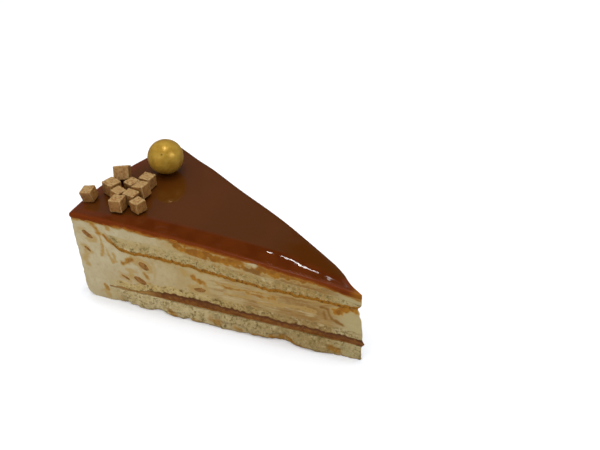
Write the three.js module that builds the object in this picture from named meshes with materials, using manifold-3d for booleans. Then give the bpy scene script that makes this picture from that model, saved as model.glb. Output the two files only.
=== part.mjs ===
// A slice of caramel bavarois cake, one of twelve portions of a round cake.
//
// Units are millimetres and +Z is up. The slice stands on z = 0. Its tip, which was the
// middle of the whole cake, points along +X, and its rim lies along -X. Every layer of
// the cake was level and round, so a layer's height is a function of the distance from
// the tip alone, and a cut through all of them gives the striped sides.
//
// From the bottom: base sponge, caramel filling, thin sponge, bavarois cream, upper
// sponge, bavarois cream again, caramel glaze. The cream also fills the rim, outside
// the sponges. A gold ball and ten fudge cubes lie on the glaze, near the rim.

import * as THREE from 'three';
import { RoundedBoxGeometry } from 'three/addons/geometries/RoundedBoxGeometry.js';
import { mergeVertices } from 'three/addons/utils/BufferGeometryUtils.js';
import Module from 'manifold-3d';

// ---------------------------------------------------------------- driving dimensions

const CAKE_RADIUS = 120;
const CAKE_HEIGHT = 42;
const PORTIONS = 12;
const HALF_ANGLE = Math.PI / PORTIONS;

// The tip stands this far from the middle of the slice's length.
const TIP_X = 59.81;

// The tip has settled: what lies above the lower sponges is squeezed towards it.
const TIP_SETTLING = 9.4;

// Neighbouring layers stay this far apart.
const GAP = 0.3;

// The cut leaves a narrow edge at the tip, not a line.
const TIP_START = 1.0;

const GLAZE_THICKNESS = 2.4;
const GLAZE_OVERHANG = 0.4;
const GLAZE_ROLL_WIDTH = 4.5;
const GLAZE_ROLL_DROP = 1.7;

// The knife turned a little in the second cut, on the +Y side, which bows out: by the
// first amount along most of the slice, and by the second as well in the tip's half.
const FAR_CUT_BOW = 0.7;
const FAR_CUT_TIP_BOW = 1.5;

const RIM_DRAFT = 0.6;
const RIM_FOOT_ROUNDING = 2.5;

// The upper sponge: a disc with its edge curled up, lower towards the tip.
const UPPER_SPONGE_REACH = 105;
const UPPER_SPONGE_LOW = 24.4;
const UPPER_SPONGE_RISE = 3.9;
const UPPER_SPONGE_SHARE = 0.52;
const UPPER_SPONGE_CURL = 4.6;
const UPPER_SPONGE_TIP_REACH = -1;

// The lower pack: base sponge, caramel filling and a thin sponge on top of it.
const LOWER_PACK_REACH = 107;
const BASE_HEIGHT = 7;
const BASE_SWELL = 1.5;
const CARAMEL_THICKNESS = 2.8;
const CARAMEL_SWELL = 0.9;
const CARAMEL_TIP_REACH = 1.8;
const THIN_SPONGE_THICKNESS = 3.6;

const BALL_RADIUS = 7.4;
const BALL_FLATNESS = 0.97;
const BALL_BACK = 104.2;
const BALL_SIDE = 12.4;

// The fudge cubes, each by where it lies and how it is turned:
// back and side are its distance from the tip along the slice and across it, size its
// edge, turn its heading, and pitch and roll its tilt, all three angles in degrees.
const FUDGE_CUBES = [
  { back: 116.4, side: -20.2, size: 5.0, turn: 110, pitch: -7, roll: -11 },
  { back: 114.4, side: -3.2, size: 6.1, turn: 37, pitch: -2, roll: 59 },
  { back: 111.6, side: -12.0, size: 5.6, turn: 82, pitch: 0, roll: 0 },
  { back: 105.8, side: -14.2, size: 4.7, turn: 89, pitch: 5, roll: 6 },
  { back: 106.2, side: -6.1, size: 4.6, turn: 86, pitch: -2, roll: 0 },
  { back: 102.9, side: -0.4, size: 5.1, turn: 99, pitch: 0, roll: 0 },
  { back: 100.0, side: -7.1, size: 5.4, turn: 100, pitch: 4, roll: -8 },
  { back: 100.2, side: -12.9, size: 4.8, turn: 103, pitch: 4, roll: 7 },
  { back: 101.2, side: -19.1, size: 5.3, turn: 108, pitch: 3, roll: -4 },
  { back: 94.2, side: -15.0, size: 4.7, turn: 81, pitch: -2, roll: -3 },
];
const FUDGE_EDGE_ROUNDING = 0.5;

// ---------------------------------------------------------------- heights of the layers

const { clamp, degToRad, lerp, smoothstep } = THREE.MathUtils;

// One smooth hump (or, subtracted, one dent) along the slice.
const hump = (r, middle, width) => Math.exp(-(((r - middle) / width) ** 2));

const settling = (r) => TIP_SETTLING * (1 - clamp(r / CAKE_RADIUS, 0, 1)) ** 2;

const glazeOver = (r) => CAKE_HEIGHT - settling(r);
const glazeUnder = (r) => glazeOver(r) - GLAZE_THICKNESS;
const creamOver = (r) => glazeUnder(r) - GAP;

const upperSpongeLevel = (r) => UPPER_SPONGE_LOW + UPPER_SPONGE_RISE * smoothstep(r, 38, 82);
const upperSpongeUnder = (r) => upperSpongeLevel(r) + UPPER_SPONGE_CURL * smoothstep(r, 96, 107);
const upperSpongeOver = (r) => lerp(upperSpongeLevel(r), creamOver(r), UPPER_SPONGE_SHARE);

// The caramel is thickest midway and thins out to the rim.
const caramelThickness = (r) =>
  CARAMEL_THICKNESS + CARAMEL_SWELL * hump(r, 66, 18) - 2 * smoothstep(r, 86, 106);
const caramelUnder = () => BASE_HEIGHT + GAP;
const caramelOver = (r) => caramelUnder() + caramelThickness(r);

const thinSpongeUnder = (r) => caramelOver(r) + GAP;
const thinSpongeOver = (r) => thinSpongeUnder(r) + THIN_SPONGE_THICKNESS;

// ---------------------------------------------------------------- shaping helpers

const tipDistance = (x, y) => Math.hypot(x - TIP_X, y);

// Steps that crowd together towards both ends of 0..1.
const crowdEnds = (u) => lerp(u, 0.5 - 0.5 * Math.cos(Math.PI * u), 0.75);

// A closed block of small faces, bent by place(u, v, t): u runs from 0 at the tip to 1
// at the rim, v from -1 to 1 across the slice and t from 0 at the bottom to 1 on top.
function bentBlock(along, across, upward, place) {
  const block = new THREE.BoxGeometry(1, 1, 1, along, across, upward);
  block.deleteAttribute('normal');
  block.deleteAttribute('uv');
  const position = block.attributes.position;
  for (let i = 0; i < position.count; i += 1) {
    const u = 0.5 - position.getX(i);
    const v = 2 * position.getY(i);
    const t = position.getZ(i) + 0.5;
    const [x, y, z] = place(u, v, t);
    position.setXYZ(i, x, y, z);
  }
  return mergeVertices(block);
}

// A point of the wedge: r from the tip, v across, swelled sideways past the cut faces.
function onWedge(r, v, swell = 0) {
  const angle = v * (HALF_ANGLE + swell / Math.max(r, 12));
  return [TIP_X - r * Math.cos(angle), r * Math.sin(angle)];
}

// How far the bowed second cut lies outside the straight one at r from the tip.
function farBow(r) {
  const mostOfIt = smoothstep(r, 8, 16) * (1 - smoothstep(r, 92, 105));
  const tipHalf = smoothstep(r, 10, 26) * (1 - smoothstep(r, 50, 62));
  return FAR_CUT_BOW * mostOfIt + FAR_CUT_TIP_BOW * tipHalf;
}

// A point of the wedge moved out with the bowed cut: all the way on that cut, and not at
// all on the slice's middle plane and the side beyond it.
function bowOut([x, y], r, v) {
  const out = farBow(r) * Math.max(v, 0);
  return [x + out * Math.sin(HALF_ANGLE), y + out * Math.cos(HALF_ANGLE)];
}

// A layer that ends at the cut faces: under and over give its heights by distance from
// the tip, swell(r, t) how far it bulges out of the cut, and tipReach how far its tip
// stands out, or in where it is negative.
function layer({ along, across, upward = 1, reach, under, over, swell, tipReach = 0 }) {
  return bentBlock(along, across, upward, (u, v, t) => {
    const r = lerp(TIP_START, reach, u);
    const [x, y] = bowOut(onWedge(r, v, swell ? swell(r, t) : 0), r, v);
    const forward = tipReach * (1 - smoothstep(r, 0, 9)) * Math.sin(Math.PI * (0.15 + 0.7 * t));
    return [x + forward, y, lerp(under(r), over(r), t)];
  });
}

// ---------------------------------------------------------------- cutting

const wasm = await Module();
wasm.setup();

function toSolid(geometry) {
  const vertProperties = new Float32Array(geometry.attributes.position.array);
  const triVerts = new Uint32Array(geometry.index.array);
  return new wasm.Manifold(new wasm.Mesh({ numProp: 3, vertProperties, triVerts }));
}

function toGeometry(solid) {
  const mesh = solid.getMesh();
  const geometry = new THREE.BufferGeometry();
  const position = new THREE.BufferAttribute(new Float32Array(mesh.vertProperties), 3);
  geometry.setAttribute('position', position);
  geometry.setIndex(new THREE.BufferAttribute(new Uint32Array(mesh.triVerts), 1));
  return geometry;
}

// The room that a sponge disc takes in the cream: a block that runs out past the tip
// and past both cut faces, and ends towards the rim in an arc about the tip.
function pocket({ along, reach, under, over }) {
  const outside = 6;
  const halfWidth = 40;
  const end = reach + GAP;
  return toSolid(bentBlock(along, 12, 1, (u, v, t) => {
    const y = v * halfWidth;
    const x = TIP_X + outside - u * (outside + Math.sqrt(end ** 2 - y ** 2));
    const r = tipDistance(x, y);
    return [x, y, t ? over(r) + GAP : under(r) - GAP];
  }));
}

// ---------------------------------------------------------------- the layers

// The glaze: a sheet whose edges roll over and hang a little past the cream.
function edgeDistance(x, y) {
  const back = TIP_X - x;
  const toCut = back * Math.sin(HALF_ANGLE) - Math.abs(y) * Math.cos(HALF_ANGLE);
  const toRim = CAKE_RADIUS - tipDistance(x, y);
  return Math.min(toCut, toRim) + GLAZE_OVERHANG;
}

function glazeSurface(x, y) {
  const inward = clamp(edgeDistance(x, y) / GLAZE_ROLL_WIDTH, 0, 1);
  return glazeOver(tipDistance(x, y)) - GLAZE_ROLL_DROP * (1 - Math.sqrt(1 - (1 - inward) ** 2));
}

function makeGlaze() {
  return bentBlock(40, 16, 1, (u, v, t) => {
    const r = lerp(TIP_START, CAKE_RADIUS + GLAZE_OVERHANG, crowdEnds(u));
    const across = 2 * crowdEnds((v + 1) / 2) - 1;
    const [x, y] = onWedge(r, across, GLAZE_OVERHANG);
    return [...bowOut([x, y], r, across), t ? glazeSurface(x, y) : glazeUnder(r)];
  });
}

// The cream: the whole slice under the glaze, less the rooms of the sponges.
function creamTipSetback(z) {
  return 1.6 * hump(z, 25, 2.2) + 0.8 * hump(z, 21, 3);
}

function creamRimRadius(z) {
  const foot = 1 - clamp(z / RIM_FOOT_ROUNDING, 0, 1);
  return CAKE_RADIUS - RIM_DRAFT * (1 - z / CAKE_HEIGHT) - RIM_FOOT_ROUNDING * foot ** 2;
}

function makeCream() {
  const whole = bentBlock(24, 8, 10, (u, v, t) => {
    const z = t ** 1.5 * creamOver(u * CAKE_RADIUS);
    const r = lerp(TIP_START, creamRimRadius(z), u);
    const [x, y] = bowOut(onWedge(r, v), r, v);
    return [x - creamTipSetback(z) * (1 - smoothstep(r, 0, 12)), y, z];
  });
  const upperRoom = pocket({
    along: 30,
    reach: UPPER_SPONGE_REACH,
    under: upperSpongeUnder,
    over: upperSpongeOver,
  });
  const lowerRoom = pocket({
    along: 20,
    reach: LOWER_PACK_REACH,
    under: () => -1,
    over: thinSpongeOver,
  });
  return toGeometry(toSolid(whole).subtract(upperRoom).subtract(lowerRoom));
}

const makeUpperSponge = () => layer({
  along: 34,
  across: 8,
  reach: UPPER_SPONGE_REACH,
  under: upperSpongeUnder,
  over: upperSpongeOver,
  tipReach: UPPER_SPONGE_TIP_REACH,
});

const makeThinSponge = () => layer({
  along: 28,
  across: 8,
  reach: LOWER_PACK_REACH,
  under: thinSpongeUnder,
  over: thinSpongeOver,
});

const makeCaramel = () => layer({
  along: 28,
  across: 8,
  upward: 2,
  reach: LOWER_PACK_REACH,
  under: caramelUnder,
  over: caramelOver,
  tipReach: CARAMEL_TIP_REACH,
});

// The base swells out of the cut midway, most at its foot, and has crumbled away in two
// places.
function baseSwell(r, t) {
  const midway = smoothstep(r, 2, 16) * (1 - smoothstep(r, 90, 102));
  const crumbled = hump(r, 86, 3) + hump(r, 32, 4.5);
  const upward = 1.05 + 0.25 * Math.sin(Math.PI * t) - 0.85 * t;
  return BASE_SWELL * midway * (1 - crumbled) * upward;
}

const makeBase = () => layer({
  along: 40,
  across: 6,
  upward: 3,
  reach: LOWER_PACK_REACH,
  under: () => 0,
  over: () => BASE_HEIGHT,
  swell: baseSwell,
});

// ---------------------------------------------------------------- the toppings

function makeBall() {
  const ball = new THREE.SphereGeometry(BALL_RADIUS, 28, 16);
  ball.rotateX(Math.PI / 2);
  ball.scale(1, 1, BALL_FLATNESS);
  return ball;
}

// A fudge cube has soft edges, and no two of its edges are quite the same length.
function makeCube(cube, index) {
  const stretch = 0.04;
  const width = cube.size * (1 + stretch * Math.sin(2.1 * index));
  const depth = cube.size * (1 + stretch * Math.sin(3.7 * index + 1));
  const geometry = new RoundedBoxGeometry(width, depth, cube.size, 1, FUDGE_EDGE_ROUNDING);
  const tilt = new THREE.Euler(
    degToRad(cube.roll),
    degToRad(cube.pitch),
    degToRad(cube.turn),
    'ZYX',
  );
  geometry.applyMatrix4(new THREE.Matrix4().makeRotationFromEuler(tilt));
  return geometry;
}

// Lowers a mesh onto the glaze until the gap under its lowest point is GAP.
function restOnGlaze(mesh, back, side) {
  const x = TIP_X - back;
  const position = mesh.geometry.attributes.position;
  let clearance = Infinity;
  for (let i = 0; i < position.count; i += 1) {
    const surface = glazeSurface(x + position.getX(i), side + position.getY(i));
    clearance = Math.min(clearance, position.getZ(i) - surface);
  }
  mesh.position.set(x, side, GAP - clearance);
  return mesh;
}

// ---------------------------------------------------------------- the slice

function piece(name, geometry, color, roughness, metalness = 0) {
  const material = new THREE.MeshStandardMaterial({ color, roughness, metalness });
  const mesh = new THREE.Mesh(geometry, material);
  mesh.name = name;
  return mesh;
}

function bare(geometry) {
  geometry.deleteAttribute('normal');
  geometry.deleteAttribute('uv');
  return mergeVertices(geometry, 1e-4);
}

const slice = new THREE.Group();
slice.add(piece('base_sponge', makeBase(), '#b9a678', 0.95));
slice.add(piece('caramel_filling', makeCaramel(), '#6e3f18', 0.45));
slice.add(piece('thin_sponge', makeThinSponge(), '#b8a373', 0.95));
slice.add(piece('bavarois', makeCream(), '#b5a27c', 0.7));
slice.add(piece('upper_sponge', makeUpperSponge(), '#a98f58', 0.95));
slice.add(piece('glaze', makeGlaze(), '#5e2c12', 0.15));

const ball = piece('gold_ball', bare(makeBall()), '#b08a3c', 0.35, 0.6);
slice.add(restOnGlaze(ball, BALL_BACK, BALL_SIDE));

FUDGE_CUBES.forEach((cube, index) => {
  const name = `fudge_cube_${String(index + 1).padStart(2, '0')}`;
  const mesh = piece(name, bare(makeCube(cube, index)), '#9c7648', 0.8);
  slice.add(restOnGlaze(mesh, cube.back, cube.side));
});

export default slice;
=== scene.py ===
# %% [markdown]
# # A slice of caramel bavarois cake
#
# The real thing is a wedge cut from a round cake: a base sponge, a dark caramel filling,
# a thin sponge, bavarois cream, a second sponge soaked brown underneath, cream again and
# a caramel glaze. The cream also closes the rim. A gold ball and a few fudge cubes lie on
# the glaze. The imported model gives every piece its size and place, and this script gives
# each one the surface that it has in real life.
#
# The frame is loaded first, and its box is kept.

# %% Load the frame
import math

import bpy
import numpy as np
from mathutils import Matrix, Vector


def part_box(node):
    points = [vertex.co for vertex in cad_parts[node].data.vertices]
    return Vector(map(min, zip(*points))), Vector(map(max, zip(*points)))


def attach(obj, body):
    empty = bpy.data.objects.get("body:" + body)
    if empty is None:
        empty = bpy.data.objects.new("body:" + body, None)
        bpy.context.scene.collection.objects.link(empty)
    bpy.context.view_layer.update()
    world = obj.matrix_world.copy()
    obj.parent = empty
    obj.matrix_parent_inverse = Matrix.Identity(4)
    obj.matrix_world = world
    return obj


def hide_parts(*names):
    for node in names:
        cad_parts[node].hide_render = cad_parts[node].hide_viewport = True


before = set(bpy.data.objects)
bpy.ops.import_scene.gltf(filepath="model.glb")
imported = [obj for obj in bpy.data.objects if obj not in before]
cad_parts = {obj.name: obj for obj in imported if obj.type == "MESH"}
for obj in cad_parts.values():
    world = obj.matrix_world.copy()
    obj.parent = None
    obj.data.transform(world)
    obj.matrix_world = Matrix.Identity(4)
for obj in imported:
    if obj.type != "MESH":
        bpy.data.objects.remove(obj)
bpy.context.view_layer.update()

# %% [markdown]
# ## Measures
#
# Everything below is worked out in millimetres, because a cake is easier to think about
# in millimetres, and goes into the meshes in metres. The sizes come from the frame. The
# layers start one millimetre from the axis of the whole cake, and all heights are
# functions of the distance r from that axis.

# %% Sizes read from the frame
MM = 0.001


def box_mm(node):
    """The lowest and highest corner of a node of the frame, in millimetres."""
    low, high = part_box(node)
    return np.array(low) / MM, np.array(high) / MM


TIP_START = 1.0
# How far the glaze reaches past the cake, and the gap between the frame's solids.
OVERHANG = 0.4
GAP = 0.3
HALF_ANGLE = math.pi / 12
COSINE, SINE = math.cos(HALF_ANGLE), math.sin(HALF_ANGLE)

glaze_low, glaze_high = box_mm("glaze")
cream_top_at_rim = box_mm("bavarois")[1][2]
TIP_X = glaze_high[0] + TIP_START * COSINE
RADIUS = TIP_X - glaze_low[0] - OVERHANG
TOP = glaze_high[2]
GLAZE_THICKNESS = TOP - cream_top_at_rim - GAP
SETTLING = (cream_top_at_rim + GAP - glaze_low[2]) / (1 - TIP_START / RADIUS) ** 2
BASE_TOP = box_mm("base_sponge")[1][2]
SPONGE_LOW = box_mm("upper_sponge")[0][2]
print(f"axis at x {TIP_X:.2f}, radius {RADIUS:.2f}, top {TOP:.2f}, settling {SETTLING:.2f}")

# %% [markdown]
# ## Random numbers that stay put
#
# Crumb, pores and smears need randomness that is the same on every run and that has a
# size in millimetres. Lattice noise gives soft blotches; random spots, one in each cell
# of a lattice, give pores and crumbs. Both are whole-array sums over a few neighbours.


# %% Noise
def hashed(cells, seed):
    """A number from 0 to 1 for each lattice cell, always the same for the same cell: its
    three whole numbers are multiplied by large primes, added and mixed by shifts."""
    mixed = cells @ np.array([73856093, 19349663, 83492791], np.int64) + seed * 7919
    mixed = (mixed ^ (mixed >> 13)) * 1274126177 & 0xFFFFFFFF
    mixed = (mixed ^ (mixed >> 15)) * 668265263 & 0xFFFFFFFF
    return (mixed ^ (mixed >> 16) & 0xFFFF) / 0xFFFFFFFF


def blotches(points, cell, seed):
    """Soft noise from -1 to 1: the random numbers at the eight corners of a point's
    lattice cell, blended by the smoothed distance from each corner."""
    scaled = points / cell
    corner = np.floor(scaled).astype(np.int64)
    part = scaled - corner
    part = part * part * (3 - 2 * part)
    total = np.zeros(len(points))
    for step in np.ndindex(2, 2, 2):
        weight = np.prod(np.where(step, part, 1 - part), axis=1)
        total += weight * hashed(corner + np.array(step), seed)
    return 2 * total - 1


def spots(points, cell, seed):
    """The distance to the nearest random spot, in cells, and that spot's own random
    number. Each lattice cell holds one spot, so only 27 cells can hold the nearest."""
    scaled = points / cell
    corner = np.floor(scaled).astype(np.int64)
    nearest = np.full(len(points), 9.0)
    chosen = np.zeros(len(points))
    for step in np.ndindex(3, 3, 3):
        cells = corner + np.array(step) - 1
        place = cells + np.stack([hashed(cells, seed + k) for k in range(3)], axis=1)
        distance = np.linalg.norm(scaled - place, axis=1)
        closer = distance < nearest
        nearest = np.where(closer, distance, nearest)
        chosen = np.where(closer, hashed(cells, seed + 3), chosen)
    return nearest, chosen


def pits(points, cell, seed, low, high, vary, least=-1.0):
    """1 inside random spots and 0 outside, with a smooth wall from the distance low to
    high plus vary times the spot's number. Spots up to the least number are left out."""
    near, chosen = spots(points, cell, seed)
    return (1 - smooth(near, low, high + vary * chosen)) * (chosen > least)


def smooth(x, low, high):
    """0 below low, 1 above high, and a smooth S between them."""
    part = np.clip((x - low) / (high - low), 0, 1)
    return part * part * (3 - 2 * part)


def hump(x, middle, width):
    """A smooth bell of height 1."""
    return np.exp(-(((x - middle) / width) ** 2))


# %% [markdown]
# ## Heights of the layers
#
# The tip of the slice has settled, so the glaze and the cream dip towards it. The upper
# sponge dips in the middle of the cake and curls up at its own edge, where it thins out
# to nothing. Each boundary is one function that the layers above and below it share, so
# that they meet without a gap. A little noise keeps the lines from looking drawn.

# %% Boundaries between the layers
CREAM_RISE = 0.9
CREAM_RISE_AT_TIP = 0.15
SPONGE_RISE = 3.0
SPONGE_SHARE = 0.6
SPONGE_CURL = 9.2
CURL_START = 93.5
CURL_POWER = 3.5
SPONGE_END = 107.0
PACK_END = 108.0
CARAMEL_THICKNESS = 3.0
THIN_SPONGE_THICKNESS = 3.7


def wavy(r, side, amount, cell, seed):
    """A line's unevenness at distance r from the tip, different on the two cut sides."""
    return amount * blotches(np.stack([r, 40.0 * side, 0 * r], axis=1), cell, seed)


def glaze_over(r):
    """The level top, less a settling that grows as the square of the nearness to the tip."""
    return TOP - SETTLING * (1 - np.clip(r / RADIUS, 0, 1)) ** 2


def cream_over(r, side):
    """The cream rises into the CAD glaze's lower part, because the real glaze is thinner."""
    raised = CREAM_RISE_AT_TIP + (CREAM_RISE - CREAM_RISE_AT_TIP) * smooth(r, 3, 14)
    return glaze_over(r) - GLAZE_THICKNESS + raised + wavy(r, side, 0.35, 7.0, 11)


def sponge_level(r):
    """The middle of the cake sank, so the underside is lower towards the tip."""
    return SPONGE_LOW + SPONGE_RISE * smooth(r, 38, 82)


def sponge_over(r, side):
    """A fixed share of the way from the underside's level up to the glaze."""
    level = sponge_level(r)
    share = SPONGE_SHARE - 0.06 * smooth(r, 30, 0)
    return level + share * (glaze_over(r) - GLAZE_THICKNESS - level) + wavy(r, side, 0.3, 5, 12)


def sponge_under(r, side):
    """The level and a curl, a power of the share of the way to the sponge's end."""
    curl = SPONGE_CURL * np.clip((r - CURL_START) / (SPONGE_END - CURL_START), 0, 1) ** CURL_POWER
    under = sponge_level(r) + curl + wavy(r, side, 0.45, 3.6, 13) + wavy(r, side, 0.35, 1.3, 14)
    return np.minimum(under, sponge_over(r, side))


def base_over(r, side):
    """Nearly level: the base carries the rest."""
    return BASE_TOP + 0.1 + wavy(r, side, 0.12, 4.0, 15)


def caramel_over(r, side):
    """The filling is thickest midway and runs out at the rim; its top follows crumbs."""
    thick = CARAMEL_THICKNESS + 0.9 * hump(r, 66, 18) - 2.3 * smooth(r, 82, 98)
    teeth = wavy(r, side, 0.5, 1.1, 16) + wavy(r, side, 0.3, 3.0, 17)
    return base_over(r, side) + np.maximum(thick + teeth, 0.3)


def pack_over(r, side):
    """The top of the thin sponge, one thickness above the caramel."""
    return caramel_over(r, side) + THIN_SPONGE_THICKNESS + wavy(r, side, 0.35, 4.0, 18)


r_line = np.linspace(TIP_START, RADIUS, 5)
print("glaze top along the slice:", np.round(glaze_over(r_line), 1))

# %% [markdown]
# ## A bent block
#
# Every layer is one closed block, dense where it shows. The outside of a lattice of
# cells is numbered once, its six sides become quads, and then all its points are bent
# into the wedge at once. Only the cut sides and the rim need fine cells, so the number
# of cells along, across and upward is chosen for each layer.


# %% The outside of a lattice
def block_outside(along, across, upward):
    """The points on the outside of a block of cells, as fractions from 0 to 1 along,
    across and upward, and the quads that close it. A side's quads join each point to
    the next one both ways."""
    shape = (along + 1, across + 1, upward + 1)
    i, k, j = np.indices(shape)
    outer = (i % along == 0) | (k % across == 0) | (j % upward == 0)
    number = np.full(shape, -1)
    number[outer] = np.arange(outer.sum())
    sides = [number[0].T, number[-1], number[:, 0], number[:, -1].T, number[:, :, 0].T, number[:, :, -1]]
    quads = [
        np.stack([n[:-1, :-1], n[1:, :-1], n[1:, 1:], n[:-1, 1:]], axis=-1).reshape(-1, 4)
        for n in sides
    ]
    points = np.stack([i[outer] / along, k[outer] / across, j[outer] / upward], axis=1)
    return points, np.concatenate(quads)


def joined(lattices):
    """Several lattices of points and quads as one: each one's quads count on from the
    points before them."""
    starts = np.cumsum([0] + [len(points) for points, quads in lattices])
    quads = [quads + start for (points, quads), start in zip(lattices, starts)]
    return np.concatenate([points for points, quads in lattices]), np.concatenate(quads)


def volume_of(points, quads):
    """Six times the volume inside the quads, positive where they face outwards."""
    a, b, c, d = (points[quads[:, n]] for n in range(4))
    return np.sum(np.cross(a, b) * c) + np.sum(np.cross(a, c) * d)


# %% Points and quads into a piece
def make_piece(name, points, quads, slot, replaced=(), sharp=50.0, **values):
    """A piece of the object from points in millimetres and quads: it faces outwards, is
    smooth but for edges sharper than the angle, carries the values as attributes, and
    rides on the part's one body."""
    if volume_of(points, quads) < 0:
        quads = quads[:, ::-1]
    mesh = bpy.data.meshes.new(name)
    mesh.vertices.add(len(points))
    mesh.vertices.foreach_set("co", (points * MM).astype(np.float32).ravel())
    mesh.loops.add(quads.size)
    mesh.loops.foreach_set("vertex_index", quads.astype(np.int32).ravel())
    mesh.polygons.add(len(quads))
    mesh.polygons.foreach_set("loop_start", np.arange(0, quads.size, 4, dtype=np.int32))
    mesh.update(calc_edges=True)
    mesh.shade_smooth()
    mesh.set_sharp_from_angle(angle=math.radians(sharp))
    for key, value in values.items():
        mesh.attributes.new(key, "FLOAT", "POINT").data.foreach_set("value", value.astype(np.float32))
    piece = bpy.data.objects.new(name, mesh)
    bpy.context.scene.collection.objects.link(piece)
    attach(piece, "root")
    if replaced:
        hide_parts(*replaced)
    print(f"{name}: {len(points)} points, {2 * len(quads)} triangles")
    return piece


# %% [markdown]
# ## The cut sides
#
# The knife left the cut sides nearly flat, but each layer answers it in its own way: the
# cream smears, the sponge tears into crumbs and swells out. A point of a cut side moves
# along that side's normal by its layer's own relief. The tip is a profile too: it stands
# out at the caramel and is worn away beside the brown line of the upper sponge.


# %% Where a block's points go
TIP_REACH = 1.15
# Height, width and reach of the drop of caramel, the cream above it, the dents beside
# the brown line, and the worn foot.
TIP_BUMPS = [(8.5, 1.1, 1.25), (12.5, 4, 0.55), (24.8, 1.5, -1.65), (21.8, 1.4, -0.9), (1.2, 1.3, -0.25)]
FAR_BOW = 0.7
FAR_BOW_TO_TIP = 1.7
RIM_SWELL = 1.0


def tip_reach(z):
    """How far the tip stands out in front of a block's first points at height z: a
    fixed reach and a bell for each bump."""
    return TIP_REACH + sum(reach * hump(z, height, width) for height, width, reach in TIP_BUMPS)


def far_bulge(r):
    """How far the second cut strays out of a straight line at distance r: the knife
    turned a little, mostly in the half towards the tip."""
    whole = smooth(r, 4, 12) * (1 - smooth(r, 92, 105))
    return FAR_BOW * whole + FAR_BOW_TO_TIP * smooth(r, 4, 18) * (1 - smooth(r, 42, 80))


def rim_swell(r):
    """The rim bulges out of the round, as soft cream does when it is cut."""
    return RIM_SWELL * smooth(r, 96, 120)


def bend(r, v, z, out):
    """The point at distance r from the axis, v from -1 to 1 across the wedge and height
    z, pushed out mm along the cut side's normal where it lies on one."""
    angle = v * HALF_ANGLE
    side = np.sign(v)
    push = out * (np.abs(v) > 0.999) + far_bulge(r) * np.clip(v, 0, 1)
    r = r + rim_swell(r)
    x = TIP_X - r * np.cos(angle) + push * SINE
    x += tip_reach(z) * (1 - smooth(r, 0, 9))
    y = r * np.sin(angle) + side * push * COSINE
    return np.stack([x, y, z], axis=1)


def side_coordinates(r, z, side):
    """Places on the cut sides as points in space, far apart for the two sides."""
    return np.stack([r, z, 300.0 * side], axis=1)


def knife_waves(r, z, side):
    """The slow unevenness that all layers of a cut side share, in millimetres."""
    place = side_coordinates(r, z, side)
    return 0.3 * blotches(place, 16.0, 21) + 0.12 * blotches(place, 5.0, 22)


def layer_points(along, upward, r0, r1, under, over, across=10):
    """The lattice of one layer: its points' distance from the tip, place across, side,
    height and height as a share of the layer, with the quads."""
    share, quads = block_outside(along, across, upward)
    r = r0 + (r1 - r0) * share[:, 0]
    v = 2 * share[:, 1] - 1
    side = np.where(v > 0, 1.0, -1.0)
    low, high = under(r, side), over(r, side)
    return r, v, side, low + (high - low) * share[:, 2], share[:, 2], quads


# %% [markdown]
# ## Strokes of caramel
#
# Streaks and patches on the cut side are short strokes, each a few corners in side
# coordinates (distance from the tip, height) with a half width. The amount of caramel
# at a point is highest on the nearest stroke and fades out at its edge, where a little
# noise frays it.


# %% Distance to a stroke
def stroke_amount(r, z, corners, half_width, softness=0.8, seed=31):
    """1 on a stroke and 0 away from it. The distance to each straight stretch is the
    distance to its nearest point, found by projecting onto it and clipping."""
    place = np.stack([r, z], axis=1)
    nearest = np.full(len(r), 99.0)
    for start, end in zip(corners[:-1], corners[1:]):
        a, b = np.array(start, float), np.array(end, float)
        t = np.clip((place - a) @ (b - a) / np.dot(b - a, b - a), 0, 1)
        nearest = np.minimum(nearest, np.linalg.norm(place - a - t[:, None] * (b - a), axis=1))
    flat = np.stack([r, z, 0 * r], axis=1)
    fray = 0.55 * blotches(flat, 1.9, seed) + 0.35 * blotches(flat, 0.8, seed + 1)
    return 1 - smooth(nearest / half_width + fray, 1 - softness, 1 + softness)


def sum_of_strokes(r, z, strokes):
    """Several strokes together: the strongest one counts at each point."""
    total = np.zeros(len(r))
    for corners, half_width, strength in strokes:
        total = np.maximum(total, strength * stroke_amount(r, z, corners, half_width))
    return total


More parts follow.
